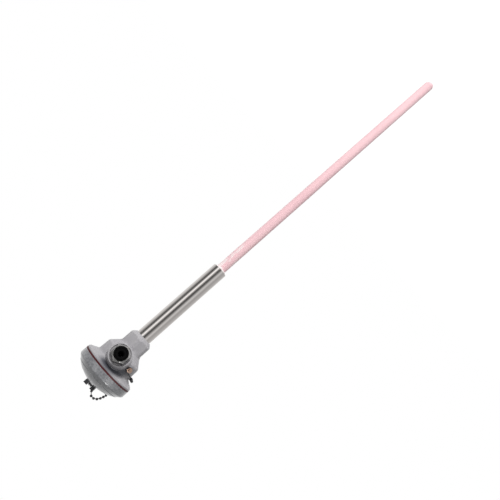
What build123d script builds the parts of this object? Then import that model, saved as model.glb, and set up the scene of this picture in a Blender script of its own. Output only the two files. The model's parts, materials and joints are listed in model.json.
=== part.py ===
from build123d import *
import math
import os

# Platinum-rhodium thermocouple with a sealed connection head.
# Millimetres. The origin is the centre of the neck's lower end face, +Z points up to the cover,
# the tube hangs down to its tip, the gland points to -Y and the earth screw lies on the -X side.

# Protection tube and sleeve
tube_radius = 8.0
tube_wall = 2.0
tube_exposed = 500.0
tube_top_depth = 30.0
sleeve_radius = 12.5
sleeve_wall = 2.0
sleeve_exposed = 150.0
spigot_step = 0.5
spigot_length = 18.0
spigot_clearance = 0.1
sleeve_chamfer = 0.5
cement_depth = 22.0
cement_bulge = 2.2
packing_length = 12.0
packing_below_top = 4.0
packing_clearance = 0.02

# Insulators, wires and junction
insulator_radius = 3.5
insulator_count = 6
insulator_gap = 0.3
insulator_tip_gap = 10.0
wire_radius = 0.25
wire_spacing = 3.2
wire_bore_radius = 0.45
wire_bend_radius = 2.5
weld_radius = 0.7
lead_sleeve_radius = 1.0
lead_sleeve_bore = 0.35

# Neck, flare and bowl of the cast head
neck_wall = 6.2
neck_length = 23.4
neck_corner = 1.5
neck_core_inset = 0.1
neck_end_lip = 1.2
neck_chamfer_height = 6.2
bore_shoulder_gap = 1.0
flare_height = 13.2
flare_round = 12.0
shoulder_round = 4.0
bowl_radius = 31.0
bowl_draft = 0.6
bowl_wall = 3.7
bowl_height = 18.4
floor_rise = 1.6
lead_hole_clearance = 0.5

# Flange, collar and gasket
collar_reach = 8.0
seat_width = 4.2
flange_slope_height = 5.4
flange_edge = 2.4
flange_edge_height = 1.6
flange_rim = 2.8
flange_root_round = 3.0
collar_wall = 3.6
collar_height = 10.4
gasket_thickness = 1.8
gasket_overhang = 0.4

# Cover
cover_overhang = 0.6
cover_thread_clearance = 0.4
cover_rim_height = 10.1
cover_rim_round = 3.5
cover_edge_round = 0.8
cover_wall = 3.3
cover_height = 28.4
hub_radius = 7.0
hub_rise = 0.2
hub_boss_radius = 5.5
hub_boss_depth = 9.0
band_inset = 6.3
band_width = 10.5
band_rise = 0.5

# Swivel block, its screw and the stirrup
block_length = 19.0
block_depth = 6.0
block_base = 1.6
block_ear_height = 4.2
block_slot = 6.6
block_gap = 0.2
block_corner = 0.8
swivel_thread_radius = 1.95
swivel_shoulder_radius = 2.4
swivel_head_radius = 2.9
swivel_head_height = 1.7
swivel_running_gap = 0.06
screw_gap = 0.05
swivel_thread_length = 6.4
stirrup_strap = 0.8
stirrup_width = 2.6
stirrup_gap = 0.15
stirrup_reach = 4.6
stirrup_tail = 1.4
stirrup_lean = 35.0
stirrup_pin_radius = 0.85
stirrup_pin_inset = 3.2
stirrup_pin_height = 3.4

# Bead chain
bead_radius = 1.9
bead_pitch = 5.2
bead_rod_radius = 0.6
bead_rod_gap = 0.1

# Its route over the dome: azimuth, share of the cover's radius, height above the dome in bead radii
route_over_dome = [
    (174.9, 0.307, 6.90),
    (169.6, 0.432, 7.47),
    (164.0, 0.546, 6.31),
    (157.4, 0.618, 4.47),
    (149.0, 0.692, 3.05),
    (137.2, 0.827, 2.00),
    (128.3, 0.972, 2.05),
]
# Round the rim: azimuth, then bead radii outside the cover and above its lower edge
route_round_rim = [
    (123.9, 1.29, 4.95),
    (122.8, 1.62, 0.74),
    (124.8, 0.92, -3.16),
]
# Under the flange: azimuth, then bead radii outside the bowl and above the flange's root
route_under_flange = [
    (134.6, 5.11, 0.10),
    (144.3, 3.53, -0.42),
    (157.0, 2.55, -0.68),
    (170.3, 2.47, -0.90),
    (181.6, 2.84, -1.16),
    (190.7, 2.95, -1.68),
]

# Earth screw, its pad and the chain's anchor link
earth_boss_distance = 4.8
earth_below_flange = 12.0
earth_pad_radius = 4.6
earth_pad_proud = 1.6
earth_boss_depth = 7.2
earth_thread_radius = 2.0
earth_thread_depth = 8.8
earth_washer_radius = 3.9
earth_washer_thickness = 0.9
earth_head_radius = 3.1
earth_head_height = 2.4
slot_width = 0.9
slot_depth = 1.2
link_ring_radius = 4.2
link_ring_thickness = 1.0
link_shank_radius = 0.9
link_shank_rise = 3.3
link_reach = 18.5
link_rise = 7.6
link_outward = -2.3
link_bell_radius = 1.9
link_bell_length = 3.4

# Gland: boss, nut, bush, washer and sealing ring
gland_tilt = 15.0
gland_axis_height = 49.0
boss_radius = 17.0
boss_root_radius = 18.6
boss_root_depth = 9.0
boss_reach = 12.0
boss_lip = 2.4
boss_lip_width = 2.2
gland_thread_radius = 10.0
gland_thread_clearance = 0.1
gland_thread_depth = 12.0
gland_passage_radius = 7.0
gland_passage_depth = 8.0
seal_thickness = 4.0
washer_thickness = 1.0
washer_bore_clearance = 1.0
gland_stack_gap = 0.2
nut_across_flats = 24.0
nut_height = 10.7
nut_face_gap = 0.3
nut_shank_wall = 1.8
nut_front_wall = 1.6
nut_counterbore_depth = 8.0
nut_chamfer = 0.7
bush_clearance = 0.12
bush_inset = 0.7
cable_radius = 4.0
bush_groove_radius = 7.2
bush_groove_width = 0.9
bush_groove_depth = 0.8
bush_lead_in = 1.2

# Terminal block and its fittings
terminal_block_radius = 21.0
terminal_block_base = 10.8
terminal_block_thickness = 10.0
block_hole_clearance = 2.0
barrier_thickness = 3.0
barrier_height = 6.0
barrier_length = 36.0
post_spacing = 33.0
post_radius = 4.2
block_screw_radius = 1.95
block_screw_grip = 7.0
screw_end_gap = 1.0
block_screw_head_radius = 3.4
block_screw_head_height = 2.6
terminal_width = 8.0
terminal_length = 12.0
terminal_height = 8.0
terminal_inner_end = 6.7
terminal_recess = 1.0
terminal_recess_gap = 0.15
barrel_radius = 1.5
barrel_height = 4.0
clamp_screw_radius = 1.75
clamp_head_radius = 2.7
clamp_head_height = 2.2
clamp_end_distance = 3.0
fixing_screw_radius = 1.5
fixing_head_radius = 2.9
fixing_head_height = 2.0

# How far a cutting shape runs past the face that it cuts
cut_margin = 1.0

# Levels and radii that follow from the sizes above
spigot_radius = sleeve_radius - spigot_step
sleeve_bore = sleeve_radius - sleeve_wall
neck_bore = spigot_radius + spigot_clearance
neck_half_flats = neck_bore + neck_wall
neck_corner_radius = neck_half_flats + neck_corner
neck_core_radius = neck_half_flats - neck_core_inset
flare_foot = neck_length
shoulder_z = flare_foot + flare_height
floor_z = shoulder_z + floor_rise
collar_radius = bowl_radius + collar_reach
flange_radius = collar_radius + seat_width
cover_radius = flange_radius + cover_overhang
band_outer_radius = cover_radius - band_inset
band_inner_radius = band_outer_radius - band_width
flange_base = shoulder_z + bowl_height
flange_low_edge = flange_base + flange_slope_height
seat_z = flange_low_edge + flange_edge_height + flange_rim
collar_top = seat_z + collar_height
cover_base = seat_z + gasket_thickness
cover_apex = cover_base + cover_height
cover_bore = collar_radius + cover_thread_clearance
cover_corner_z = cover_base + cover_rim_height
hub_top = cover_apex + hub_rise
block_z = hub_top + block_gap
bowl_bore = bowl_radius - bowl_wall
collar_bore = collar_radius - collar_wall
boss_face = bowl_radius + boss_reach
boss_start = bowl_radius - boss_root_depth
tip_z = -sleeve_exposed - tube_exposed
wire_offset = wire_spacing / 2
lead_hole_radius = insulator_radius + lead_hole_clearance
block_base_z = floor_z + terminal_block_base
block_top_z = block_base_z + terminal_block_thickness
terminal_base_z = block_top_z - terminal_recess
terminal_top_z = terminal_base_z + terminal_height
barrel_z = terminal_base_z + barrel_height
insulator_top = block_top_z - 2 * terminal_recess
insulator_bottom = tip_z + tube_wall + insulator_tip_gap

# The dome is an arc through the cover's corner and its apex
dome_rise = cover_apex - cover_corner_z
dome_radius = (cover_radius**2 + dome_rise**2) / (2 * dome_rise)
dome_centre_z = cover_apex - dome_radius


def dome_height(radius, offset=0.0):
    """Height of the dome's surface at a radius, moved outwards by offset."""
    return dome_centre_z + math.sqrt((dome_radius + offset) ** 2 - radius**2)


def point(radius, height):
    return (radius, 0, height)


def turned(corners, rounds=()):
    """Solid of revolution about Z of (radius, height) corners; rounds are (corner index, radius)."""
    return turned_edges([Polyline(*[point(*corner) for corner in corners], close=True)],
                        [(corners[index], radius) for index, radius in rounds])


def turned_edges(edges, rounds=()):
    """Solid of revolution about Z of a closed outline of edges; rounds are (corner, radius)."""
    section = make_face(edges)
    for corner, radius in rounds:
        nearest = section.vertices().sort_by_distance(point(*corner))[0]
        section = fillet(nearest, radius)
    return revolve(section, Axis.Z)


def rod(radius, low, high):
    return Pos(0, 0, low) * Cylinder(radius, high - low, align=(Align.CENTER, Align.CENTER, Align.MIN))


def ring(outer, inner, low, high):
    return rod(outer, low, high) - rod(inner, low, high)


def hexagon_prism(across_flats, low, high):
    face = RegularPolygon(across_flats / 2, 6, major_radius=False, rotation=30)
    return Pos(0, 0, low) * extrude(face, high - low)


def screw_slot(width, head_radius, depth, top):
    return Pos(0, 0, top - depth / 2) * Box(3 * head_radius, width, depth)


def dome_arc(inner, outer, offset):
    middle = (inner + outer) / 2
    return ThreePointArc(*[point(radius, dome_height(radius, offset)) for radius in (inner, middle, outer)])


# Local frames: each has its own +Z along the piece's axis
gland_angle = math.radians(gland_tilt)
gland_direction = (0, -math.cos(gland_angle), -math.sin(gland_angle))
gland_frame = Plane(origin=(0, 0, gland_axis_height), x_dir=(1, 0, 0), z_dir=gland_direction)
earth_height = flange_base - earth_below_flange
earth_side = (boss_radius + earth_boss_distance) / (bowl_radius + earth_pad_proud)
earth_angle = math.pi + math.acos(earth_side)
earth_frame = Plane(origin=(0, 0, earth_height), x_dir=(math.sin(earth_angle), -math.cos(earth_angle), 0),
                    z_dir=(math.cos(earth_angle), math.sin(earth_angle), 0))


def steel_sleeve():
    """Sleeve with the narrower spigot that screws into the neck."""
    return turned([
        (sleeve_bore, -sleeve_exposed),
        (sleeve_radius - sleeve_chamfer, -sleeve_exposed),
        (sleeve_radius, -sleeve_exposed + sleeve_chamfer),
        (sleeve_radius, 0),
        (spigot_radius, 0),
        (spigot_radius, spigot_length - sleeve_chamfer),
        (spigot_radius - sleeve_chamfer, spigot_length),
        (sleeve_bore, spigot_length),
    ])


def protection_tube():
    """Tube with a hemispherical closed end inside and out."""
    centre = tip_z + tube_radius
    bore = tube_radius - tube_wall
    low = math.sqrt(0.5)
    return turned_edges([
        ThreePointArc(point(0, tip_z), point(tube_radius * low, centre - tube_radius * low),
                      point(tube_radius, centre)),
        Line(point(tube_radius, centre), point(tube_radius, -tube_top_depth)),
        Line(point(tube_radius, -tube_top_depth), point(bore, -tube_top_depth)),
        Line(point(bore, -tube_top_depth), point(bore, centre)),
        ThreePointArc(point(bore, centre), point(bore * low, centre - bore * low), point(0, centre - bore)),
        Line(point(0, centre - bore), point(0, tip_z)),
    ])


def mouth_cement():
    """Cement between tube and sleeve, with a sloped bead outside the mouth."""
    inner = tube_radius + packing_clearance
    outer = sleeve_bore - packing_clearance
    return turned([
        (inner, -sleeve_exposed - cement_bulge),
        (inner + (outer - inner) / 4, -sleeve_exposed - cement_bulge),
        (outer, -sleeve_exposed),
        (outer, -sleeve_exposed + cement_depth),
        (inner, -sleeve_exposed + cement_depth),
    ])


def tube_packing():
    top = -tube_top_depth - packing_below_top
    return ring(sleeve_bore - packing_clearance, tube_radius + packing_clearance, top - packing_length, top)


def twin_bore_insulators():
    """Row of alumina rods, each with two bores for the wires."""
    pitch = (insulator_top - insulator_bottom + insulator_gap) / insulator_count
    rods = []
    for index in range(insulator_count):
        low = insulator_bottom + index * pitch
        piece = rod(insulator_radius, low, low + pitch - insulator_gap)
        for side in (-1, 1):
            piece -= Pos(0, side * wire_offset, 0) * rod(wire_bore_radius, low, low + pitch)
        rods.append(piece)
    return rods


def wire(side):
    """Wire from the hairpin at the tip up through its bores and outwards into its barrel."""
    low = insulator_bottom - insulator_tip_gap / 4
    end = terminal_inner_end + terminal_length / 2
    path = FilletPolyline((0, side * wire_offset, low), (0, side * wire_offset, barrel_z),
                          (0, side * end, barrel_z), radius=wire_bend_radius)
    section = Plane(origin=(0, side * wire_offset, low), z_dir=(0, 0, 1)) * Circle(wire_radius)
    return sweep(section, path=path)


def lead_sleeve(side):
    start = (0, side * wire_offset, insulator_top + insulator_gap)
    end = (0, side * (terminal_inner_end - insulator_gap), barrel_z)
    path = FilletPolyline(start, (0, side * wire_offset, barrel_z), end, radius=wire_bend_radius)
    section = Plane(origin=start, z_dir=(0, 0, 1)) * (Circle(lead_sleeve_radius) - Circle(lead_sleeve_bore))
    return sweep(section, path=path)


def measuring_junction():
    """Half ring that joins both wires, with the weld bead at its lowest point."""
    low = insulator_bottom - insulator_tip_gap / 4
    section = Plane(origin=(0, wire_offset, low), z_dir=(0, 0, 1)) * Circle(wire_radius)
    hairpin = revolve(section, Axis((0, 0, low), (-1, 0, 0)), 180)
    return hairpin + Pos(0, 0, low - wire_offset) * Sphere(weld_radius)


def neck():
    """Hexagon with turned-down corners and a chamfered lower end."""
    prism = hexagon_prism(2 * neck_half_flats, 0, flare_foot + neck_corner)
    envelope = turned([
        (0, 0),
        (sleeve_radius + neck_end_lip, 0),
        (neck_corner_radius, neck_chamfer_height),
        (neck_corner_radius, flare_foot + neck_corner),
        (0, flare_foot + neck_corner),
    ])
    return prism & envelope


def bowl_shell():
    """Outside of the flare, bowl, flange and collar, turned as one."""
    return turned([
        (0, neck_chamfer_height),
        (neck_core_radius, neck_chamfer_height),
        (neck_core_radius, flare_foot),
        (bowl_radius - bowl_draft, shoulder_z),
        (bowl_radius, flange_base),
        (flange_radius - flange_edge, flange_low_edge),
        (flange_radius, flange_low_edge + flange_edge_height),
        (flange_radius, seat_z),
        (collar_radius, seat_z),
        (collar_radius, collar_top),
        (0, collar_top),
    ], [(2, flare_round), (3, shoulder_round), (4, flange_root_round)])


def bowl_cavity():
    return turned([
        (0, floor_z),
        (bowl_bore, floor_z),
        (bowl_bore, flange_base + bowl_wall / 2),
        (collar_bore, flange_low_edge + bowl_wall / 2),
        (collar_bore, collar_top + cut_margin),
        (0, collar_top + cut_margin),
    ])


def head_body():
    """Cast head: neck, bowl, gland boss, earth pad and the two posts of the terminal block."""
    outside = neck() + bowl_shell()
    boss = turned([
        (0, boss_start),
        (boss_root_radius, boss_start),
        (boss_radius, boss_face),
        (boss_radius, boss_face + boss_lip),
        (boss_radius - boss_lip_width, boss_face + boss_lip),
        (boss_radius - boss_lip_width, boss_face),
        (0, boss_face),
    ], [(3, boss_lip / 2)])
    outside += gland_frame * boss
    pad_face = bowl_radius + earth_pad_proud
    pad = earth_frame * rod(earth_pad_radius, bowl_bore - earth_pad_proud, pad_face)
    outside += pad
    inside = bowl_cavity()
    inside -= earth_frame * rod(earth_pad_radius, bowl_radius - earth_boss_depth, pad_face)
    for side in (-1, 1):
        inside -= Pos(side * post_spacing / 2, 0, 0) * rod(post_radius, floor_z - cut_margin, block_base_z)
    body = outside - inside
    body -= rod(neck_bore, -cut_margin, spigot_length + bore_shoulder_gap)
    body -= rod(lead_hole_radius, 0, floor_z + cut_margin)
    body -= gland_frame * rod(gland_thread_radius + gland_thread_clearance, boss_face - gland_thread_depth,
                              boss_face + nut_height)
    body -= gland_frame * rod(gland_passage_radius, bowl_radius - gland_passage_depth, boss_face)
    body -= earth_frame * rod(earth_thread_radius + screw_gap, pad_face - earth_thread_depth,
                              pad_face + cut_margin)
    thread_hole = rod(block_screw_radius + screw_gap, block_base_z - block_screw_grip - screw_end_gap,
                      block_base_z + cut_margin)
    for side in (-1, 1):
        body -= Pos(side * post_spacing / 2, 0, 0) * thread_hole
    return body


def cover_gasket():
    return ring(flange_radius + gasket_overhang, cover_bore, seat_z, cover_base)


def head_cover():
    """Domed cover: threaded skirt, rounded rim, raised band and a flat hub on a boss."""
    skirt_top = dome_height(cover_bore, -cover_wall)
    boss_z = hub_top - hub_boss_depth
    hole = swivel_thread_radius + screw_gap
    bead = (cover_radius, cover_base)
    corner = (cover_radius, cover_corner_z)
    inner_dome = dome_height(hub_boss_radius, -cover_wall)
    hub_edge = dome_height(hub_radius)
    shell = turned_edges([
        Polyline(point(hub_radius, hub_edge), point(hub_radius, hub_top), point(hole, hub_top),
                 point(hole, boss_z), point(hub_boss_radius, boss_z), point(hub_boss_radius, inner_dome)),
        dome_arc(hub_boss_radius, cover_bore, -cover_wall),
        Polyline(point(cover_bore, skirt_top), point(cover_bore, cover_base), point(*bead), point(*corner)),
        dome_arc(hub_radius, cover_radius, 0.0),
    ], [(bead, cover_edge_round), (corner, cover_rim_round)])
    band = turned_edges([
        dome_arc(band_inner_radius, band_outer_radius, band_rise),
        Line(point(band_outer_radius, dome_height(band_outer_radius, band_rise)),
             point(band_outer_radius, dome_height(band_outer_radius, -cover_wall / 2))),
        dome_arc(band_inner_radius, band_outer_radius, -cover_wall / 2),
        Line(point(band_inner_radius, dome_height(band_inner_radius, -cover_wall / 2)),
             point(band_inner_radius, dome_height(band_inner_radius, band_rise))),
    ])
    return shell + band


# The pin's axis in the outer ear of the swivel block, and the stirrup's own frame on it
pin_x = -(block_length / 2 - stirrup_pin_inset)
pin_z = block_z + stirrup_pin_height
lean = math.radians(stirrup_lean)
stirrup_direction = (-math.sin(lean), 0, math.cos(lean))
stirrup_frame = Plane(origin=(pin_x, 0, pin_z), x_dir=(0, 1, 0), z_dir=stirrup_direction)


def swivel_block():
    """Two ears on a base; the screw's head lies in the slot between them."""
    height = block_base + block_ear_height
    body = Pos(0, 0, block_z + height / 2) * Box(block_length, block_depth, height)
    body = fillet(body.edges().filter_by(Axis.Z), block_corner)
    body -= Pos(0, 0, block_z + block_base + height / 2) * Box(block_slot, 2 * block_depth, height)
    body -= rod(swivel_shoulder_radius + swivel_running_gap, block_z - cut_margin, block_z + height)
    pin_hole = Cylinder(stirrup_pin_radius + stirrup_gap, 2 * block_depth, rotation=(90, 0, 0))
    return body - Pos(pin_x, 0, pin_z) * pin_hole


def swivel_screw():
    """Shoulder screw: thread in the hub, shoulder through the block's base, slotted head above."""
    shoulder_top = block_z + block_base + block_gap
    top = shoulder_top + swivel_head_height
    body = turned([
        (0, hub_top - swivel_thread_length),
        (swivel_thread_radius, hub_top - swivel_thread_length),
        (swivel_thread_radius, hub_top),
        (swivel_shoulder_radius, hub_top),
        (swivel_shoulder_radius, shoulder_top),
        (swivel_head_radius, shoulder_top),
        (swivel_head_radius, top),
        (0, top),
    ])
    return body - screw_slot(slot_width, swivel_head_radius, slot_depth, top)


def chain_stirrup():
    """Strap bent over the ear, with its pin and the stud that the chain's first rod meets."""
    inner = block_depth / 2 + stirrup_gap
    outer = inner + stirrup_strap
    height = stirrup_tail + stirrup_reach
    strap = Pos(0, 0, height / 2 - stirrup_tail) * Box(2 * outer, stirrup_width, height)
    opening = Box(2 * inner, 2 * stirrup_width, height)
    opening = Pos(0, 0, height / 2 - stirrup_tail - stirrup_strap) * opening
    pin = Cylinder(stirrup_pin_radius, 2 * outer, rotation=(0, 90, 0))
    stud = rod(bead_rod_radius * 2, stirrup_reach - stirrup_strap, stirrup_reach + bead_rod_radius)
    return stirrup_frame * (strap - opening + pin + stud)


def link_end():
    """Middle of the bell's outer face, in the earth screw's frame."""
    return (link_reach, -link_rise, link_ring_z() + link_outward)


def link_ring_z():
    return bowl_radius + earth_pad_proud + earth_washer_thickness + link_ring_thickness / 2


def bead_link(length):
    """One bead with its rod; length is the distance to the next bead's centre."""
    corner = bead_radius / math.cos(math.pi / 8)
    waist = corner * math.sin(math.pi / 8)
    pole = corner * math.cos(math.pi / 8)
    rod_end = length - corner - bead_rod_gap
    return turned([
        (0, -pole),
        (waist, -pole),
        (pole, -waist),
        (pole, waist),
        (waist, pole),
        (bead_rod_radius, pole),
        (bead_rod_radius, rod_end),
        (0, rod_end),
    ])


def chain_route():
    """Centres of the chain between its two ends, from the three stretches of its route."""
    places = []
    for azimuth, share, height in route_over_dome:
        radius = share * cover_radius
        places.append((azimuth, radius, dome_height(radius) + height * bead_radius))
    for azimuth, out, height in route_round_rim:
        places.append((azimuth, cover_radius + out * bead_radius, cover_base + height * bead_radius))
    for azimuth, out, height in route_under_flange:
        places.append((azimuth, bowl_radius + out * bead_radius, flange_base + height * bead_radius))
    return [Vector(radius, 0, height).rotate(Axis.Z, azimuth) for azimuth, radius, height in places]


def cover_chain():
    """Beads at an even pitch along the route, from the stirrup's stud to the anchor link's bell."""
    start = stirrup_frame.from_local_coords((0, 0, stirrup_reach + bead_rod_radius + bead_rod_gap))
    end = earth_frame.from_local_coords(link_end())
    route = Spline(start, *chain_route(), end)
    count = round(route.length / bead_pitch)
    centres = [route @ (index / count) for index in range(count + 1)]
    links = []
    for index in range(1, count):
        here = centres[index]
        onward = centres[index + 1] - here
        reach = onward.length if index < count - 1 else onward.length + bead_radius
        links.append(Plane(origin=here, z_dir=onward) * bead_link(reach))
    first = centres[1] - centres[0]
    lead = rod(bead_rod_radius, 0, first.length - bead_radius / math.cos(math.pi / 8) - bead_rod_gap)
    links.append(Plane(origin=centres[0], z_dir=first) * lead)
    return links


def chain_anchor_link():
    """Eyelet under the earth screw's head with a shank out to the bell that takes the last rod."""
    start = Vector(0, -link_shank_rise, link_ring_z())
    end = Vector(*link_end())
    along = (end - start).normalized()
    shank_length = (end - start).length - bead_rod_gap
    eyelet = ring(link_ring_radius, earth_thread_radius + screw_gap, link_ring_z() - link_ring_thickness / 2,
                  link_ring_z() + link_ring_thickness / 2)
    shank_frame = Plane(origin=start, z_dir=along)
    shank = shank_frame * rod(link_shank_radius, 0, shank_length)
    bell = shank_frame * rod(link_bell_radius, shank_length - link_bell_length, shank_length)
    washers = earth_washer_radius + screw_gap
    above = rod(washers, link_ring_z() + link_ring_thickness / 2, link_ring_z() + link_shank_rise)
    below = rod(washers, link_ring_z() - link_shank_rise, link_ring_z() - link_ring_thickness / 2)
    bore = rod(earth_thread_radius + screw_gap, link_ring_z() - link_shank_rise,
               link_ring_z() + link_shank_rise)
    return earth_frame * (eyelet + (shank - above - below - bore) + bell)


def earth_washers():
    low = bowl_radius + earth_pad_proud
    high = low + earth_washer_thickness + link_ring_thickness
    bore = earth_thread_radius + screw_gap
    under = ring(earth_washer_radius, bore, low, low + earth_washer_thickness)
    over = ring(earth_washer_radius, bore, high, high + earth_washer_thickness)
    return [earth_frame * under, earth_frame * over]


def earth_screw():
    seat = bowl_radius + earth_pad_proud + 2 * earth_washer_thickness + link_ring_thickness
    top = seat + earth_head_height
    end = bowl_radius + earth_pad_proud - earth_thread_depth + screw_end_gap
    body = rod(earth_thread_radius, end, seat) + rod(earth_head_radius, seat, top)
    return earth_frame * (body - screw_slot(slot_width, earth_head_radius, slot_depth, top))


# Distances along the gland's axis from the head's axis
gland_shoulder = boss_face - gland_thread_depth
washer_face = gland_shoulder + seal_thickness + washer_thickness
nut_seat = boss_face + nut_face_gap
nut_front = nut_seat + nut_height
nut_bore = gland_thread_radius - nut_shank_wall
nut_counterbore = nut_across_flats / 2 - nut_front_wall


def gland_seal():
    return gland_frame * ring(gland_thread_radius - bush_clearance, cable_radius, gland_shoulder,
                              gland_shoulder + seal_thickness)


def gland_washer():
    return gland_frame * ring(gland_thread_radius - bush_clearance, cable_radius + washer_bore_clearance,
                              gland_shoulder + seal_thickness, washer_face)


def gland_nut():
    """Hexagon with chamfered front corners, a threaded shank behind and a wide counterbore in front."""
    head = hexagon_prism(nut_across_flats, nut_seat, nut_front)
    chamfer_radius = nut_across_flats / 2 - nut_chamfer
    envelope = turned([
        (0, nut_seat),
        (chamfer_radius + nut_height, nut_seat),
        (chamfer_radius, nut_front),
        (0, nut_front),
    ])
    body = (head & envelope) + rod(gland_thread_radius, washer_face + gland_stack_gap, nut_seat)
    body -= rod(nut_bore, washer_face, nut_front)
    body -= rod(nut_counterbore, nut_front - nut_counterbore_depth, nut_front + cut_margin)
    return gland_frame * body


def gland_bush():
    """Rubber bush: a body in the shank, a flange in the counterbore, a grooved face and the cable bore."""
    step = nut_front - nut_counterbore_depth + bush_clearance
    front = nut_front - bush_inset
    groove_outer = bush_groove_radius + bush_groove_width
    body = turned([
        (cable_radius, washer_face + gland_stack_gap),
        (nut_bore - bush_clearance, washer_face + gland_stack_gap),
        (nut_bore - bush_clearance, step),
        (nut_counterbore - bush_clearance, step),
        (nut_counterbore - bush_clearance, front),
        (groove_outer, front),
        (groove_outer, front - bush_groove_depth),
        (bush_groove_radius, front - bush_groove_depth),
        (bush_groove_radius, front),
        (cable_radius + bush_lead_in, front),
        (cable_radius, front - bush_lead_in),
    ])
    return gland_frame * body


def terminal_block():
    """Ceramic disc with a lead hole, screw holes, a barrier and a recess for each terminal."""
    hole = insulator_radius + block_hole_clearance
    disc = rod(terminal_block_radius, block_base_z, block_top_z)
    disc = fillet(disc.edges().filter_by(GeomType.CIRCLE).sort_by(Axis.Z)[-1], terminal_recess)
    barrier = Box(barrier_length, barrier_thickness, barrier_height)
    barrier = Pos(0, 0, block_top_z + barrier_height / 2) * barrier
    head_room = rod(block_screw_head_radius + terminal_recess, block_top_z, block_top_z + barrier_height)
    for side in (-1, 1):
        barrier -= Pos(side * post_spacing / 2, 0, 0) * head_room
    block = disc + barrier - rod(hole, block_base_z, block_top_z + barrier_height)
    for side in (-1, 1):
        block -= Pos(side * post_spacing / 2, 0, 0) * rod(block_screw_radius + screw_gap, block_base_z,
                                                          block_top_z)
        middle = side * (terminal_inner_end + terminal_length / 2)
        pocket = Box(terminal_width + 2 * terminal_recess_gap, terminal_length + 2 * terminal_recess_gap,
                     2 * terminal_recess)
        block -= Pos(0, middle, block_top_z) * pocket
        block -= Pos(0, middle, 0) * rod(fixing_screw_radius + screw_gap, block_base_z, block_top_z)
        block -= Pos(0, middle, 0) * rod(fixing_head_radius + screw_gap, block_base_z,
                                         block_base_z + fixing_head_height)
    return block


def terminal(side):
    """Brass barrel block: one bore for the lead and the cable core, two clamp holes, one hole below."""
    middle = side * (terminal_inner_end + terminal_length / 2)
    body = Pos(0, middle, terminal_base_z + terminal_height / 2) * Box(terminal_width, terminal_length,
                                                                      terminal_height)
    body = fillet(body.edges().filter_by(Axis.Z), block_corner)
    body -= Pos(0, middle, barrel_z) * Cylinder(barrel_radius, 2 * terminal_length, rotation=(90, 0, 0))
    for place in clamp_places(side):
        body -= Pos(0, place, 0) * rod(clamp_screw_radius + screw_gap, barrel_z, terminal_top_z + cut_margin)
    return body - Pos(0, middle, 0) * rod(fixing_screw_radius + screw_gap, terminal_base_z, barrel_z)


def clamp_places(side):
    inner = terminal_inner_end + clamp_end_distance
    outer = terminal_inner_end + terminal_length - clamp_end_distance
    return (side * inner, side * outer)


def clamp_screws():
    screws = []
    for side in (-1, 1):
        inner, outer = clamp_places(side)
        ends = ((inner, barrel_z + wire_radius + screw_gap), (outer, barrel_z + barrel_radius / 2))
        for place, tip in ends:
            top = terminal_top_z + clamp_head_height
            body = rod(clamp_screw_radius, tip, terminal_top_z) + rod(clamp_head_radius, terminal_top_z, top)
            body -= screw_slot(slot_width, clamp_head_radius, slot_depth, top)
            screws.append(Pos(0, place, 0) * body)
    return screws


def terminal_fixing_screws():
    screws = []
    for side in (-1, 1):
        tip = barrel_z - barrel_radius - screw_gap
        body = rod(fixing_head_radius, block_base_z, block_base_z + fixing_head_height)
        body += rod(fixing_screw_radius, block_base_z, tip)
        screws.append(Pos(0, side * (terminal_inner_end + terminal_length / 2), 0) * body)
    return screws


def block_screws():
    screws = []
    for side in (-1, 1):
        top = block_top_z + block_screw_head_height
        body = rod(block_screw_radius, block_base_z - block_screw_grip, block_top_z)
        body += rod(block_screw_head_radius, block_top_z, top)
        body -= screw_slot(slot_width, block_screw_head_radius, slot_depth, top)
        screws.append(Pos(side * post_spacing / 2, 0, 0) * body)
    return screws


nodes = {
    "head_body": head_body(),
    "head_cover": head_cover(),
    "cover_gasket": cover_gasket(),
    "swivel_block": swivel_block(),
    "swivel_screw": swivel_screw(),
    "chain_stirrup": chain_stirrup(),
    "cover_chain": cover_chain(),
    "chain_anchor_link": chain_anchor_link(),
    "earth_screw": earth_screw(),
    "earth_washers": earth_washers(),
    "gland_nut": gland_nut(),
    "gland_bush": gland_bush(),
    "gland_washer": gland_washer(),
    "gland_seal": gland_seal(),
    "steel_sleeve": steel_sleeve(),
    "protection_tube": protection_tube(),
    "mouth_cement": mouth_cement(),
    "tube_packing": tube_packing(),
    "twin_bore_insulators": twin_bore_insulators(),
    "wire_positive": wire(1),
    "wire_negative": wire(-1),
    "measuring_junction": measuring_junction(),
    "lead_sleeves": [lead_sleeve(1), lead_sleeve(-1)],
    "terminal_block": terminal_block(),
    "terminal_positive": terminal(1),
    "terminal_negative": terminal(-1),
    "clamp_screws": clamp_screws(),
    "terminal_fixing_screws": terminal_fixing_screws(),
    "block_screws": block_screws(),
}

os.makedirs("parts", exist_ok=True)
for name, shape in nodes.items():
    pieces = shape if isinstance(shape, list) else [shape]
    solids = [solid for piece in pieces for solid in piece.solids()]
    export_step(solids[0] if len(solids) == 1 else Compound(solids), "parts/" + name + ".step")
    print(name, len(solids), "solid(s),", round(sum(solid.volume for solid in solids)), "mm3")
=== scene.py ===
# %% [markdown]
# # A thermocouple with a corundum tube
# The object is a long sensor: a cast head with a screw-on cover, a polished steel sleeve and a pink
# ceramic tube. Its measured solids come in first and are never moved. Everything made here is in
# metres, in the same frame: the origin is at the end of the head's neck, +Z points up to the cover,
# and the tube hangs down to its tip.

# %% Load the measured model
import json
import math

import bmesh
import bpy
from mathutils import Matrix, Vector


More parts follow.
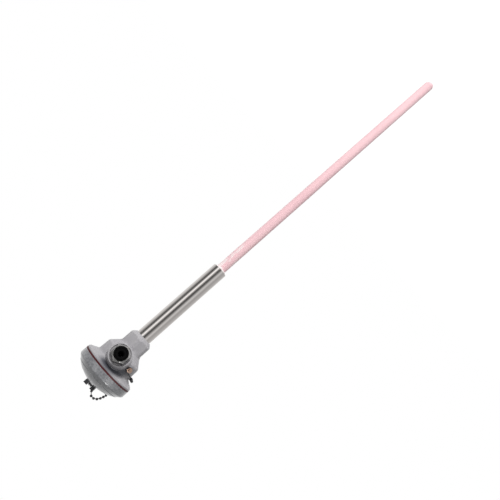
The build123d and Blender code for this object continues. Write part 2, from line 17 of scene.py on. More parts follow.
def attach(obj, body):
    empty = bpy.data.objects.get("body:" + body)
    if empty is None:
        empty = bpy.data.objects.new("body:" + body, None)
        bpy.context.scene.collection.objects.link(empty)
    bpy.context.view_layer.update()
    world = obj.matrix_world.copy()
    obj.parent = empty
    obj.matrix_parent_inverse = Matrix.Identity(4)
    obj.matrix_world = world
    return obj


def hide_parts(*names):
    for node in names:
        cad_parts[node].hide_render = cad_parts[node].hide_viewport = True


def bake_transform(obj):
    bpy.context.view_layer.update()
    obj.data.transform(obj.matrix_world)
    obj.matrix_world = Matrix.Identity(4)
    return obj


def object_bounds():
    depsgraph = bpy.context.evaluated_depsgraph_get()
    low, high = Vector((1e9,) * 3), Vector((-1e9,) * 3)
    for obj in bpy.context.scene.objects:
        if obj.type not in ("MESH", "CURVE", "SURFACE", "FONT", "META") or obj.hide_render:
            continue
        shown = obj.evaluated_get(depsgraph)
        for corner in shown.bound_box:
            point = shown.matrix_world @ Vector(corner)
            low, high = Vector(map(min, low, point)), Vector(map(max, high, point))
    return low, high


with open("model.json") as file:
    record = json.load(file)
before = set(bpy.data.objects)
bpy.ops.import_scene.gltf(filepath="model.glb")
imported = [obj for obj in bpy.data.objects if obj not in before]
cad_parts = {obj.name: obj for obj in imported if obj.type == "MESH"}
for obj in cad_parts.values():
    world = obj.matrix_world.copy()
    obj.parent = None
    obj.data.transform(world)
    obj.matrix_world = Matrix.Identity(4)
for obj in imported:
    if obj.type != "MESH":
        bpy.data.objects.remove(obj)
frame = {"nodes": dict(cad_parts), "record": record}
nodes = frame["nodes"]
cad_low, cad_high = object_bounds()
MM = 0.001
print(len(nodes), "measured pieces, box", [round(v, 4) for v in (*cad_low, *cad_high)])

# %% [markdown]
# ## Camera
# The photograph looks at the object from the height of its neck and slightly down, and the camera is
# rolled, so the tube runs up to the right. The place and the three angles come from fitting the ends
# and the edges of tube, sleeve and head. A heading turns the camera about the vertical, a tilt raises
# its nose, and a roll turns the picture about the line of sight, in that order.

# %% Place the camera
scene = bpy.context.scene
camera_place = Vector((-0.054399, -0.777949, -0.016005))
camera_heading, camera_tilt, camera_roll = -3.3694, -13.7084, -131.5565
camera_data = bpy.data.cameras.new("photo_camera")
camera_data.lens = 37.257
camera_data.shift_x, camera_data.shift_y = -0.001, 0.001
camera_data.clip_end = 30.0
camera = bpy.data.objects.new("photo_camera", camera_data)
camera.matrix_world = (
    Matrix.Translation(camera_place)
    @ Matrix.Rotation(math.radians(camera_heading), 4, "Z")
    @ Matrix.Rotation(math.radians(90 + camera_tilt), 4, "X")
    @ Matrix.Rotation(math.radians(camera_roll), 4, "Z")
)
scene.collection.objects.link(camera)
scene.camera = camera
print("camera", round(camera_place.length, 3), "m from the neck")

# %% [markdown]
# ## A small kit for node trees
# A finish is a short chain of shader nodes. A few helpers keep each chain readable: one adds a node
# and plugs values or other nodes into it by name, two calculate, one carries a value from one range
# to another, one makes a colour ramp, and one mixes two colours. The last one starts a material with
# its Principled shader.

# %% Helpers for node trees
def put(tree, kind, links=None, **settings):
    """Adds a node; settings are its properties, links are its inputs as values or output sockets."""
    node = tree.nodes.new(kind)
    for name, value in settings.items():
        setattr(node, name, value)
    for name, value in (links or {}).items():
        if isinstance(value, bpy.types.NodeSocket):
            tree.links.new(value, node.inputs[name])
        else:
            node.inputs[name].default_value = value
    return node


def calculate(tree, operation, *values):
    """A Math node on one or two numbers or sockets. Returns its result."""
    return put(tree, "ShaderNodeMath", dict(enumerate(values)), operation=operation).outputs[0]


def combine(tree, operation, *values):
    """A Vector Math node on one or two vectors. Returns its outputs, Vector and Value."""
    return put(tree, "ShaderNodeVectorMath", dict(enumerate(values)), operation=operation).outputs


def carry(tree, value, low, high, to_low=0.0, to_high=1.0, course="LINEAR"):
    """Carries a value from the range low to high over to another range. Returns the result."""
    links = {"Value": value, "From Min": low, "From Max": high, "To Min": to_low, "To Max": to_high}
    return put(tree, "ShaderNodeMapRange", links, interpolation_type=course).outputs[0]


def ramp(tree, factor, stops):
    """Colour ramp; stops are (position, grey or (r, g, b)). Returns its colour output."""
    node = put(tree, "ShaderNodeValToRGB", {"Fac": factor})
    entries = node.color_ramp.elements
    while len(entries) < len(stops):
        entries.new(1.0)
    for entry, (position, shade) in zip(entries, stops):
        entry.position = position
        entry.color = (*shade, 1.0) if isinstance(shade, tuple) else (shade, shade, shade, 1.0)
    return node.outputs["Color"]


def mix_colours(tree, factor, first, second):
    """Goes from the first colour, a socket, to the second, (r, g, b). Inputs 6 and 7 are the colours."""
    links = {"Factor": factor, 6: first, 7: (*second, 1.0)}
    return put(tree, "ShaderNodeMix", links, data_type="RGBA").outputs[2]


finishes = {}


def start_finish(name, colour, metallic=0.0, roughness=0.5):
    """A material with plain values on the shader's own sockets. Returns material, tree, shader."""
    material = finishes[name] = bpy.data.materials.new(name + "_finish")
    material.use_nodes = True
    material.diffuse_color = (*colour, 1.0)
    shader = material.node_tree.nodes["Principled BSDF"]
    for socket, value in (("Base Color", (*colour, 1.0)), ("Metallic", metallic), ("Roughness", roughness)):
        shader.inputs[socket].default_value = value
    return material, material.node_tree, shader


print("node helpers are ready")

# %% [markdown]
# ## The room
# A polished cylinder shows its surroundings as lengthwise streaks, so the room that it mirrors needs
# bright and dark sides. Real lamps and panels all round could do that, but the world does it with no
# grain: its gloss shows a ring of light and dark panels, listed by their azimuth, which fades to one
# grey overhead and underfoot.

# %% The room that gloss mirrors
room = [
    (-180, 0.58), (-167, 0.54), (-154, 0.57), (-134, 0.84), (-121, 0.60), (-108, 0.22), (-96, 0.10),
    (-86, 0.14), (-74, 0.78), (-60, 1.70), (-47, 0.50), (-34, 0.10), (-22, 0.13), (-6, 0.46), (15, 0.86),
    (43, 1.0), (110, 1.0), (147, 0.68), (168, 0.60), (180, 0.58)]
brightest = max(light for _, light in room)
pole_shade = 0.6 / brightest
pole_begins, pole_is_full = 0.6, 0.95


def azimuth_stop(degrees):
    """Place of a direction's azimuth, counted from -180 to 180 degrees, on a ramp from 0 to 1."""
    return (degrees + 180) / 360


world = bpy.data.worlds.new("studio")
scene.world = world
world.use_nodes = True
sky = world.node_tree
sky.nodes.clear()
direction = put(sky, "ShaderNodeTexCoord").outputs["Generated"]
along = put(sky, "ShaderNodeSeparateXYZ", {"Vector": direction}).outputs
azimuth = calculate(sky, "ARCTAN2", along["Y"], along["X"])
turn = carry(sky, azimuth, -math.pi, math.pi)
panels = ramp(sky, turn, [(azimuth_stop(degrees), light / brightest) for degrees, light in room])
near_pole = carry(sky, calculate(sky, "ABSOLUTE", along["Z"]), pole_begins, pole_is_full)
evened = mix_colours(sky, near_pole, panels, (pole_shade, pole_shade, pole_shade))
print(len(room), "stops round the room")

# %% [markdown]
# ## World light
# Three kinds of ray meet the world. Matt surfaces get an even soft light, gloss gets the room, and the
# camera sees white paper, also through anything clear. The world isn't sampled as a lamp: it is even
# enough to be met by chance, and sampling it left grain on the pale tube.

# %% What each kind of ray sees
white = (1.0, 1.0, 1.0, 1.0)
soft_strength = 0.36
world.cycles.sampling_method = "NONE"
path = put(sky, "ShaderNodeLightPath").outputs
seen = calculate(sky, "MAXIMUM", path["Is Camera Ray"], path["Is Transmission Ray"])
soft_light = put(sky, "ShaderNodeBackground", {"Color": white, "Strength": soft_strength})
mirror_light = put(sky, "ShaderNodeBackground", {"Color": evened, "Strength": brightest})
paper = put(sky, "ShaderNodeBackground", {"Color": white, "Strength": 1.0})
lit = put(sky, "ShaderNodeMixShader", {
    0: path["Is Glossy Ray"], 1: soft_light.outputs[0], 2: mirror_light.outputs[0]})
final = put(sky, "ShaderNodeMixShader", {0: seen, 1: lit.outputs[0], 2: paper.outputs[0]})
put(sky, "ShaderNodeOutputWorld", {"Surface": final.outputs[0]})
scene.view_settings.view_transform = "Standard"
print("world nodes", len(sky.nodes))

# %% [markdown]
# ## Lamps
# One large lamp, far off on the side of the tip and below, models the round forms and throws the
# gland's shadow on the flange. A weak lamp opens the side that it leaves dark, and another lights the
# back. Gloss doesn't show these three, because the room already gives it bright panels. The fourth is
# a small card that only gloss shows: it makes the white glint on the cover.

# %% Soft boxes round the head
lamp_aim = Vector((0.0, 0.0, -0.1))


def soft_box(name, azimuth, elevation, distance, size, radiance, only_mirrored=False):
    """A rectangular lamp that faces the head: either it lights matt surfaces or only gloss shows it."""
    lamp = bpy.data.lights.new(name, "AREA")
    lamp.shape = "RECTANGLE"
    lamp.size, lamp.size_y = size
    lamp.energy = radiance * math.pi * lamp.size * lamp.size_y
    box = bpy.data.objects.new(name, lamp)
    turned, raised = math.radians(azimuth), math.radians(elevation)
    flat = math.cos(raised)
    away = Vector((math.cos(turned) * flat, math.sin(turned) * flat, math.sin(raised)))
    box.location = lamp_aim + away * distance
    box.rotation_euler = away.to_track_quat("Z", "Y").to_euler()
    box.visible_camera = False
    box.visible_glossy = only_mirrored
    box.visible_diffuse = not only_mirrored
    scene.collection.objects.link(box)
    print(name, "at", [round(v, 2) for v in box.location])


soft_box("key_box", azimuth=-67, elevation=-38, distance=3.8, size=(0.8, 0.8), radiance=58.0)
soft_box("fill_box", azimuth=-160, elevation=-20, distance=2.4, size=(0.6, 1.2), radiance=2.6)
soft_box("back_box", azimuth=86, elevation=-5, distance=3.0, size=(1.0, 1.2), radiance=9.0)
soft_box("spot_box", azimuth=-133, elevation=28, distance=1.2, size=(0.2, 0.4), radiance=20.0,
         only_mirrored=True)

# %% [markdown]
# ## Floor
# The sensor is held by its sleeve, so it stands on nothing. The floor lies well below the tip, which
# keeps the low lamp above it. Its own colour is pale, and in the camera and in reflections it gets
# just enough extra white to meet the paper behind it; the shadow of the lamps still falls on it.

# %% Pale floor
floor_drop = 2.4
floor_half = 6.0
floor_glow = 0.75
floor_z = cad_low.z - floor_drop
corners = [(x * floor_half, y * floor_half, floor_z) for x, y in ((-1, -1), (1, -1), (1, 1), (-1, 1))]
floor_mesh = bpy.data.meshes.new("floor")
floor_mesh.from_pydata(corners, [], [(0, 1, 2, 3)])
floor = bpy.data.objects.new("floor", floor_mesh)
scene.collection.objects.link(floor)
floor_finish, tree, shader = start_finish("pale_floor", (0.82, 0.82, 0.82), roughness=0.9)
path = put(tree, "ShaderNodeLightPath").outputs
looked_at = calculate(tree, "MAXIMUM", path["Is Camera Ray"], path["Is Glossy Ray"])
looked_at = calculate(tree, "MAXIMUM", looked_at, path["Is Transmission Ray"])
glow = put(tree, "ShaderNodeEmission", {"Strength": floor_glow})
both = put(tree, "ShaderNodeAddShader", {0: shader.outputs[0], 1: glow.outputs[0]})
choice = put(tree, "ShaderNodeMixShader", {0: looked_at, 1: shader.outputs[0], 2: both.outputs[0]})
tree.links.new(choice.outputs[0], tree.nodes["Material Output"].inputs["Surface"])
floor_mesh.materials.append(floor_finish)
print("floor at", round(floor_z, 3))

# %% [markdown]
# ## Patterns for the finishes
# No real surface has one flat colour. Noise gives clouds, grain and fine waves, and a cell pattern
# gives pits. Both read Object coordinates, so each keeps its real size in millimetres and stays on
# its piece when the piece moves. The same pattern can drive colour, roughness and relief at once.

# %% Helpers for patterns
def object_noise(tree, scale, detail=3.0, roughness=0.55, stretch=None):
    """Noise with scale cells to a metre; stretch multiplies its x, y and z. Returns the 0..1 factor."""
    place = put(tree, "ShaderNodeTexCoord").outputs["Object"]
    if stretch:
        place = put(tree, "ShaderNodeMapping", {"Vector": place, "Scale": stretch}).outputs[0]
    return put(tree, "ShaderNodeTexNoise", {
        "Vector": place, "Scale": scale, "Detail": detail, "Roughness": roughness}).outputs["Fac"]


def relief(tree, shader, height, depth_mm, below=None):
    """Bump of a height factor, depth_mm from its lowest to its highest, on top of the one below."""
    links = {"Height": height, "Distance": depth_mm * MM}
    if below:
        links["Normal"] = below
    bump = put(tree, "ShaderNodeBump", links).outputs["Normal"]
    tree.links.new(bump, shader.inputs["Normal"])
    return bump


def colour_from(tree, shader, factor, stops):
    """The base colour follows a factor through a ramp."""
    tree.links.new(ramp(tree, factor, stops), shader.inputs["Base Color"])


def roughness_from(tree, shader, factor, low, high):
    """The roughness follows a factor, from low to high."""
    tree.links.new(carry(tree, factor, 0.0, 1.0, low, high), shader.inputs["Roughness"])


print("pattern helpers are ready")

# %% [markdown]
# ## Paint of the head
# The head is die-cast aluminium under grey paint: smooth, faintly cloudy, with a fine orange-peel
# bump over a longer swell.

# %% Painted casting of the head
painted_casting, tree, shader = start_finish("painted_casting", (0.41, 0.40, 0.415), roughness=0.42)
clouds = object_noise(tree, 55.0, 4.0)
paint = ramp(tree, clouds, [(0.3, (0.355, 0.345, 0.365)), (0.7, (0.41, 0.40, 0.41))])
roughness_from(tree, shader, clouds, 0.36, 0.5)
peel = object_noise(tree, 900.0, 3.0)
swell = object_noise(tree, 140.0, 2.0)
first = relief(tree, shader, swell, 0.12)
relief(tree, shader, peel, 0.03, below=first)
print(painted_casting.name)

# %% [markdown]
# ## Soot in the hollow
# Shade is painted into the hollow between the gland's boss and the flange: the paint is darkened there,
# a painted shadow of the boss. A painted mask would need a picture, so the hollow is found by its place
# instead: a point is darkened if it is close to the gland's axis, on the cover's side of it, and off
# the boss.

# %% How far a point of the casting lies from the gland
gland_start = Vector((0.0, 0.0, 49 * MM))
gland_line = Vector((0.0, -0.965926, -0.258819))
place = put(tree, "ShaderNodeTexCoord").outputs["Object"]
from_gland = combine(tree, "SUBTRACT", place, gland_start)["Vector"]
forward = combine(tree, "DOT_PRODUCT", from_gland, gland_line)["Value"]
on_line = put(tree, "ShaderNodeVectorMath", {0: gland_line, "Scale": forward}, operation="SCALE").outputs[0]
outward = combine(tree, "SUBTRACT", from_gland, on_line)["Vector"]
reach = combine(tree, "LENGTH", outward)["Value"]
print("the gland starts", round(gland_start.z / MM), "mm above the neck")

# %% Paint the shade into the hollow
# A dark colour that the mask below mixes into the paint: painted shade, standing for the boss's shadow on the
# flange.
painted_shade_colour = (0.035, 0.04, 0.055)
painted_shade_strength = 0.9
shade_ends, shade_full = 31.5 * MM, 20.5 * MM
boss_ends, boss_clear = 17.0 * MM, 19.0 * MM
side_begins, side_full = 2.0 * MM, 13.0 * MM
shaded_side = Vector((-0.5, 0.0, 0.866))
above = combine(tree, "DOT_PRODUCT", outward, shaded_side)["Value"]
close_by = carry(tree, reach, shade_ends, shade_full, course="SMOOTHSTEP")
off_boss = carry(tree, reach, boss_ends, boss_clear, course="SMOOTHSTEP")
cover_side = carry(tree, above, side_begins, side_full, course="SMOOTHSTEP")
hollow = calculate(tree, "MULTIPLY", calculate(tree, "MULTIPLY", close_by, cover_side), off_boss)
painted_shade = calculate(tree, "MULTIPLY", hollow, painted_shade_strength)
tree.links.new(mix_colours(tree, painted_shade, paint, painted_shade_colour), shader.inputs["Base Color"])
print("nodes of the head's finish", len(tree.nodes))

# %% [markdown]
# ## Cover
# The cover is a coarser casting, mottled, with lumps and pits that the paint follows. Its grey is set
# darker than the head's, a painted shade of its side that faces away from the lamps. Its lacquer is a
# thin clear coat over that: the coat has no relief of its own, so it stays smooth and shows a small
# sharp glint, while the mottle below stays dull.

# %% Coarse casting of the cover
# The cover's darker grey is painted shade: the head's paint made darker for its side away from the lamps.
cover_casting, tree, shader = start_finish("cover_casting", (0.32, 0.325, 0.34), roughness=0.36)
shader.inputs["Coat Weight"].default_value = 0.8
shader.inputs["Coat Roughness"].default_value = 0.1
mottle = object_noise(tree, 330.0, 6.0, 0.72)
colour_from(tree, shader, mottle, [
    (0.36, (0.145, 0.147, 0.159)), (0.5, (0.21, 0.212, 0.224)), (0.64, (0.30, 0.303, 0.315))])
roughness_from(tree, shader, mottle, 0.3, 0.48)
lumps = object_noise(tree, 260.0, 4.0, 0.6)
place = put(tree, "ShaderNodeTexCoord").outputs["Object"]
pits = put(tree, "ShaderNodeTexVoronoi", {"Vector": place, "Scale": 520.0}).outputs["Distance"]
first = relief(tree, shader, lumps, 0.35)
relief(tree, shader, pits, 0.1, below=first)
print(cover_casting.name)

# %% [markdown]
# ## Rubber
# The cover's gasket is red silicone, matt and slightly powdery; its red is set nearly black, a painted
# shade of the recess between cover and flange where it sits. The gland's bush and ring are black
# rubber, nearly without shine.

# %% Red silicone and black rubber
# The gasket's very dark red is painted shade: red silicone darkened for the shade of its recess.
silicone_red, tree, shader = start_finish("silicone_red", (0.075, 0.006, 0.008), roughness=0.6)
dust = object_noise(tree, 400.0, 2.0)
colour_from(tree, shader, dust, [(0.35, (0.052, 0.004, 0.006)), (0.7, (0.095, 0.008, 0.010))])
relief(tree, shader, dust, 0.03)
black_rubber, tree, shader = start_finish("black_rubber", (0.004, 0.004, 0.004), roughness=0.7)
shader.inputs["Specular IOR Level"].default_value = 0.06
bloom = object_noise(tree, 300.0, 3.0)
colour_from(tree, shader, bloom, [(0.3, (0.002, 0.002, 0.002)), (0.8, (0.004, 0.004, 0.004))])
relief(tree, shader, bloom, 0.02)
print(silicone_red.name, black_rubber.name)

# %% [markdown]
# ## Metals
# The sleeve is stainless steel, polished lengthwise: its fine scratches run along Z, which a noise
# stretched along Z gives. Deeper relief would tear its bright streaks apart, so it has almost none.
# Small parts are nickel plated, dull steel or brass, and the wires are platinum.

# %% Polished sleeve
polished_steel, tree, shader = start_finish(
    "polished_steel", (0.63, 0.60, 0.58), metallic=1.0, roughness=0.16)
drawn = object_noise(tree, 1400.0, 3.0, stretch=(1.0, 1.0, 0.012))
broad = object_noise(tree, 240.0, 2.0, stretch=(1.0, 1.0, 0.02))
colour_from(tree, shader, broad, [(0.3, (0.58, 0.545, 0.525)), (0.7, (0.68, 0.65, 0.63))])
roughness_from(tree, shader, drawn, 0.1, 0.2)
relief(tree, shader, drawn, 0.0015)
print(polished_steel.name)

# %% Plated steel, dull steel, brass and platinum
def metal(name, dark, light, roughness, scale=500.0, depth_mm=0.012):
    """A metal whose colour, roughness and relief vary with one cloudy noise."""
    material, tree, shader = start_finish(name, light, metallic=1.0, roughness=roughness)
    haze = object_noise(tree, scale, 4.0)
    colour_from(tree, shader, haze, [(0.32, dark), (0.68, light)])
    roughness_from(tree, shader, haze, roughness * 0.75, roughness * 1.3)
    relief(tree, shader, haze, depth_mm)
    return material


plated_steel = metal("plated_steel", (0.24, 0.235, 0.23), (0.36, 0.355, 0.35), 0.17)
dark_steel = metal("dark_steel", (0.035, 0.035, 0.038), (0.1, 0.1, 0.105), 0.4)
brass = metal("brass", (0.40, 0.28, 0.21), (0.58, 0.43, 0.35), 0.28)
platinum = metal("platinum", (0.6, 0.59, 0.57), (0.74, 0.73, 0.7), 0.3, 900.0, 0.004)
print([m.name for m in (plated_steel, dark_steel, brass, platinum)])

# %% [markdown]
# ## Ceramics, cement and fibre
# The protection tube is dense pink corundum, smooth from firing and a little shiny. Cement that
# whitened its upper end has run along it in pale streaks: they are a stretched noise that is let
# through near the sleeve's mouth only, and they stand a little proud. The insulators and the terminal
# block are white and glazed ceramics.

# %% Pink corundum
corundum_pink, tree, shader = start_finish("corundum_pink", (0.90, 0.60, 0.63), roughness=0.34)
fired = object_noise(tree, 30.0, 3.0, stretch=(1.0, 1.0, 0.25))
pink = ramp(tree, fired, [(0.3, (0.87, 0.565, 0.60)), (0.7, (0.93, 0.63, 0.655))])
fine = object_noise(tree, 700.0, 3.0)
first = relief(tree, shader, fine, 0.015)
print(corundum_pink.name)

# %% Cement that ran down the tube
smear_colour = (0.95, 0.86, 0.85)
smear_ends, smear_full = -225 * MM, -165 * MM
least_run = 0.36
edge_begins, edge_full = 0.10, 0.16
smear_strength = 0.75
place = put(tree, "ShaderNodeTexCoord").outputs["Object"]
height = put(tree, "ShaderNodeSeparateXYZ", {"Vector": place}).outputs["Z"]
near_mouth = carry(tree, height, smear_ends, smear_full)
runs = object_noise(tree, 95.0, 3.0, stretch=(1.0, 1.0, 0.32))
edge = calculate(tree, "MULTIPLY", calculate(tree, "SUBTRACT", runs, least_run), near_mouth)
smear = carry(tree, edge, edge_begins, edge_full, to_high=smear_strength)
tree.links.new(mix_colours(tree, smear, pink, smear_colour), shader.inputs["Base Color"])
relief(tree, shader, smear, 0.15, below=first)
print("smears end", round(-smear_ends / MM), "mm below the neck")

# %% White ceramics, cement and fibre
def mineral(name, dark, light, roughness, scale, depth_mm):
    """A matt mineral surface with a cloudy colour and a fine grain."""
    material, tree, shader = start_finish(name, light, roughness=roughness)
    haze = object_noise(tree, scale, 4.0)
    colour_from(tree, shader, haze, [(0.3, dark), (0.7, light)])
    relief(tree, shader, object_noise(tree, scale * 6, 3.0), depth_mm)
    return material


alumina_white = mineral("alumina_white", (0.78, 0.75, 0.68), (0.88, 0.86, 0.80), 0.5, 90.0, 0.02)
glazed_ceramic = mineral("glazed_ceramic", (0.76, 0.73, 0.65), (0.86, 0.84, 0.77), 0.14, 70.0, 0.015)
cement = mineral("cement", (0.78, 0.68, 0.68), (0.93, 0.86, 0.85), 0.85, 260.0, 0.2)
fibre = mineral("fibre", (0.62, 0.58, 0.5), (0.82, 0.8, 0.74), 0.9, 400.0, 0.25)
print([m.name for m in (alumina_white, glazed_ceramic, cement, fibre)])

# %% [markdown]
# ## Dressing the measured pieces
# Each measured piece whose shape is right stays, and takes the finish that its material slot names.
# The cover is one of them: its rounds are measured, and a remeshed copy of its thin rim came out
# ragged.

# %% Give every measured piece its finish
slot_of = {part["node"]: part["material_slot"] for part in frame["record"]["subparts"]}
body_of = {}
for body, members in frame["record"]["behaviour"]["bodies"].items():
    for member in members:
        body_of[member] = body
for name, node in nodes.items():
    node.data.materials.clear()
    node.data.materials.append(finishes[slot_of[name]])
print("dressed", len(nodes), "pieces on the bodies", sorted(set(body_of.values())))

# %% [markdown]
# ## Copies of measured pieces
# Real edges are never sharp, and measured ones are. A copy can have them rounded, and then stands for
# the measured piece. The measured mesh is loose triangles, so the copy's are merged first; without
# that, every modifier would treat each triangle as an island.

# %% Helpers for copies
merge_gap = 0.002 * MM
thinnest_sliver = 0.001 * MM


def merged_copy(name):
    """A copy of a measured piece's mesh, its loose triangles joined."""
    shape = bmesh.new()
    shape.from_mesh(nodes[name].data)
    bmesh.ops.remove_doubles(shape, verts=shape.verts, dist=merge_gap)
    bmesh.ops.dissolve_degenerate(shape, edges=shape.edges, dist=thinnest_sliver)
    bmesh.ops.recalc_face_normals(shape, faces=shape.faces)
    return shape


def new_piece(name, shape, finish):
    """Turns a bmesh into a linked object with one finish."""
    mesh = bpy.data.meshes.new(name)
    shape.to_mesh(mesh)
    shape.free()
    mesh.materials.append(finish)
    piece = bpy.data.objects.new(name, mesh)
    scene.collection.objects.link(piece)
    return piece


def baked(piece):
    """Applies all modifiers: the piece gets the evaluated mesh and keeps its name."""
    graph = bpy.context.evaluated_depsgraph_get()
    finished = bpy.data.meshes.new_from_object(piece.evaluated_get(graph))
    piece.modifiers.clear()
    raw = piece.data
    piece.data = finished
    bpy.data.meshes.remove(raw)
    return piece


def stand_for(piece, node):
    """The piece takes the place and the body of a measured piece."""
    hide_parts(node)
    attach(piece, body_of[node])
    print(piece.name, len(piece.data.polygons), "faces")


print("copy helpers are ready")

# %% [markdown]
# ## Head casting
# A casting's edges and inner corners are rounded all over, as the metal flowed and the paint filled
# them. A bevel would have to find every corner of boss, bowl and neck, and fails where they meet. So
# the copy is remeshed on a fine grid and smoothed, which rounds everything alike.

# %% Cast head body
grid_step = 0.68 * MM
melt_passes = 6
head_casting = new_piece("head_casting", merged_copy("head_body"), finishes[slot_of["head_body"]])
grid = head_casting.modifiers.new("grid", "REMESH")
grid.mode = "VOXEL"
grid.voxel_size = grid_step
melt = head_casting.modifiers.new("melt", "SMOOTH")
melt.factor, melt.iterations = 0.5, melt_passes
baked(head_casting).data.shade_smooth()
stand_for(head_casting, "head_body")

# %% [markdown]
# ## Bead chain
# The chain's beads are hollow balls on short rods, and one more rod leads from the first bead to the
# stirrup. The measured chain gives each bead's centre, the way its rod points and how long the rod
# is. A Geometry Nodes tree sets a smooth ball and a rod on every such point: one small recipe then
# serves all the beads, and its sizes can be changed in one place. Each rod runs a little on into what
# it meets, so no gap shows.

# %% Read the beads' places
bead_radius = 1.9 * MM
rim_tolerance = 0.05 * MM


def loose_parts(shape):
    """The separate parts of a bmesh, each a list of points, in the same order at every run."""
    parts, met = [], set()
    for start in shape.verts:
        if start in met:
            continue
        met.add(start)
        part = [start]
        for vertex in part:
            for link in vertex.link_edges:
                other = link.other_vert(vertex)
                if other not in met:
                    met.add(other)
                    part.append(other)
        parts.append([vertex.co.copy() for vertex in part])
    return parts


def middle_of(points):
    """The mean of some points."""
    return sum(points, Vector()) / len(points)


def far_rim(points, place):
    """The middle of those points that lie farthest from a place."""
    farthest = max((p - place).length for p in points)
    return middle_of([p for p in points if (p - place).length > farthest - rim_tolerance])


def bead_axis(points):
    """A bead's centre, the way its rod points, and the rod's length."""
    middle = middle_of(points)
    axis = (middle - far_rim(points, middle)).normalized()
    heights = [(p - middle).dot(axis) for p in points]
    widths = [(p - middle - axis * height).length for p, height in zip(points, heights)]
    belt = [height for height, width in zip(heights, widths) if width > bead_radius - rim_tolerance]
    ball_height = sum(belt) / len(belt)
    up, down = max(heights) - ball_height, ball_height - min(heights)
    return middle + axis * ball_height, axis if up > down else -axis, max(up, down) - bead_radius


chain_shape = merged_copy("cover_chain")
lead, *ball_parts = sorted(loose_parts(chain_shape), key=len)
chain_shape.free()
beads = [bead_axis(points) for points in ball_parts]
print(len(beads), "beads and a lead rod; their rods are",
      sorted({round(rod / MM, 1) for _, _, rod in beads}), "mm long")

# %% Find where the lead rod ends
first_bead = min((centre for centre, _, _ in beads), key=lambda centre: (centre - middle_of(lead)).length)
lead_line = far_rim(lead, first_bead) - first_bead
chain_rods = beads + [(first_bead, lead_line.normalized(), lead_line.length - bead_radius)]
print("the lead rod is", round(chain_rods[-1][2] / MM, 1), "mm long")

# %% Helpers for Geometry Nodes
def size_tree(name, sizes):
    """An empty Geometry Nodes tree with a geometry input and one named number input for each size."""
    tree = bpy.data.node_groups.new(name, "GeometryNodeTree")
    tree.interface.new_socket("Geometry", in_out="INPUT", socket_type="NodeSocketGeometry")
    for label, value in sizes.items():
        tree.interface.new_socket(label, in_out="INPUT", socket_type="NodeSocketFloat").default_value = value
    tree.interface.new_socket("Geometry", in_out="OUTPUT", socket_type="NodeSocketGeometry")
    return tree, tree.nodes.new("NodeGroupInput").outputs


def finish_tree(tree, geometry, finish):
    """Realises what the tree placed, gives it its finish and sends it to the output."""
    real = put(tree, "GeometryNodeRealizeInstances", {"Geometry": geometry})
    smooth = put(tree, "GeometryNodeSetShadeSmooth", {"Geometry": real.outputs[0]})
    coated = put(tree, "GeometryNodeSetMaterial", {"Geometry": smooth.outputs[0], "Material": finish})
    put(tree, "NodeGroupOutput", {"Geometry": coated.outputs[0]})


def grow(name, tree, mesh, sizes):
    """Runs a tree on a mesh with the given sizes and returns a plain mesh object."""
    piece = bpy.data.objects.new(name, mesh)
    scene.collection.objects.link(piece)
    modifier = piece.modifiers.new("recipe", "NODES")
    modifier.node_group = tree
    for item in tree.interface.items_tree:
        if item.item_type == "SOCKET" and item.in_out == "INPUT" and item.name in sizes:
            modifier[item.identifier] = sizes[item.name]
    return baked(piece)


print("recipe helpers are ready")

# %% The recipe of a bead with its rod
chain_sizes = {"Bead Radius": bead_radius, "Rod Radius": 0.6 * MM, "Rod Overlap": 0.42 * MM}
tree, sizes_in = size_tree("bead_chain_recipe", chain_sizes)


def named(label, kind):
    """What the points carry under a name."""
    return put(tree, "GeometryNodeInputNamedAttribute", {"Name": label}, data_type=kind).outputs[0]


heading = named("heading", "FLOAT_VECTOR")
spin = put(tree, "FunctionNodeAlignRotationToVector", {"Vector": heading}, axis="Z").outputs[0]
ball = put(tree, "GeometryNodeMeshUVSphere", {"Segments": 20, "Rings": 12, "Radius": sizes_in["Bead Radius"]})
balls = put(tree, "GeometryNodeInstanceOnPoints", {
    "Points": sizes_in["Geometry"], "Selection": named("has_ball", "BOOLEAN"),
    "Instance": ball.outputs["Mesh"], "Rotation": spin})
rod_length = calculate(tree, "ADD", named("rod", "FLOAT"), sizes_in["Rod Overlap"])
rod_middle = calculate(tree, "ADD", sizes_in["Bead Radius"], calculate(tree, "MULTIPLY", rod_length, 0.5))
rod_shift = put(tree, "ShaderNodeVectorMath", {0: heading, "Scale": rod_middle}, operation="SCALE").outputs[0]
shifted = put(tree, "GeometryNodeSetPosition", {"Geometry": sizes_in["Geometry"], "Offset": rod_shift})
bar = put(tree, "GeometryNodeMeshCylinder", {"Vertices": 10, "Radius": sizes_in["Rod Radius"], "Depth": 1.0})
bar_size = put(tree, "ShaderNodeCombineXYZ", {"X": 1.0, "Y": 1.0, "Z": rod_length})
bars = put(tree, "GeometryNodeInstanceOnPoints", {
    "Points": shifted.outputs[0], "Instance": bar.outputs["Mesh"], "Rotation": spin,
    "Scale": bar_size.outputs[0]})
joined = put(tree, "GeometryNodeJoinGeometry")
tree.links.new(bars.outputs[0], joined.inputs[0])
tree.links.new(balls.outputs[0], joined.inputs[0])
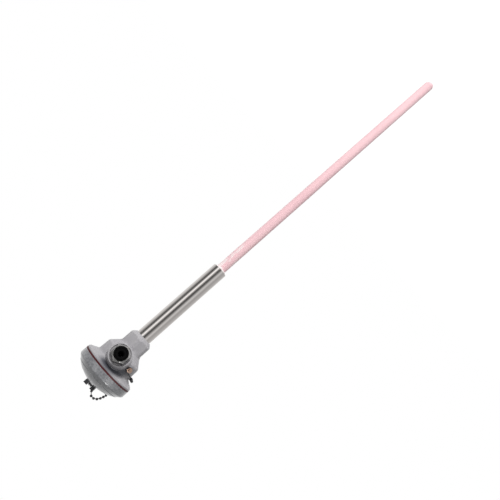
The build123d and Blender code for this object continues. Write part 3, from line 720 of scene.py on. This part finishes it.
finish_tree(tree, joined.outputs[0], dark_steel)
print("recipe nodes", len(tree.nodes))

# %% Grow the chain
chain_points = bpy.data.meshes.new("bead_points")
chain_points.from_pydata([centre for centre, _, _ in chain_rods], [], [])
headings = chain_points.attributes.new("heading", "FLOAT_VECTOR", "POINT")
for entry, (_, heading, _) in zip(headings.data, chain_rods):
    entry.vector = heading
rods = chain_points.attributes.new("rod", "FLOAT", "POINT")
for entry, (_, _, rod) in zip(rods.data, chain_rods):
    entry.value = rod
has_ball = chain_points.attributes.new("has_ball", "BOOLEAN", "POINT")
for index, entry in enumerate(has_ball.data):
    entry.value = index < len(beads)
bead_chain = grow("bead_chain", tree, chain_points, chain_sizes)
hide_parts("cover_chain")
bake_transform(bead_chain)
print("chain faces", len(bead_chain.data.polygons))

# %% [markdown]
# ## Machined small parts
# Screws, links, terminals and the gland's nut are turned or milled. Their faces are flat and true, and
# only their edges are broken, by a file or a tumbler; the moulded rubber bush looks much the same. So
# each copy has its flat faces joined, keeps its measured shape, and gets a narrow bevel along the
# edges that turn by more than the sharp angle.

# %% Break the edges of the machined parts
edge_width = 0.15 * MM
edge_segments = 2
flat_angle = math.radians(0.5)
sharp_angle = math.radians(35)


def machined_copy(name, node):
    """The measured shape with its edges broken by a narrow round."""
    shape = merged_copy(node)
    bmesh.ops.dissolve_limit(
        shape, angle_limit=flat_angle, verts=shape.verts, edges=shape.edges, delimit={"SHARP"})
    piece = new_piece(name, shape, finishes[slot_of[node]])
    bevel = piece.modifiers.new("broken_edges", "BEVEL")
    bevel.width, bevel.segments = edge_width, edge_segments
    bevel.limit_method, bevel.angle_limit = "ANGLE", sharp_angle
    baked(piece).data.shade_smooth()
    piece.data.set_sharp_from_angle(angle=sharp_angle)
    stand_for(piece, node)


for node in ("swivel_block", "swivel_screw", "chain_stirrup", "chain_anchor_link", "earth_screw",
             "earth_washers", "gland_nut", "gland_bush", "clamp_screws", "block_screws",
             "terminal_positive", "terminal_negative"):
    machined_copy(node + "_edged", node)
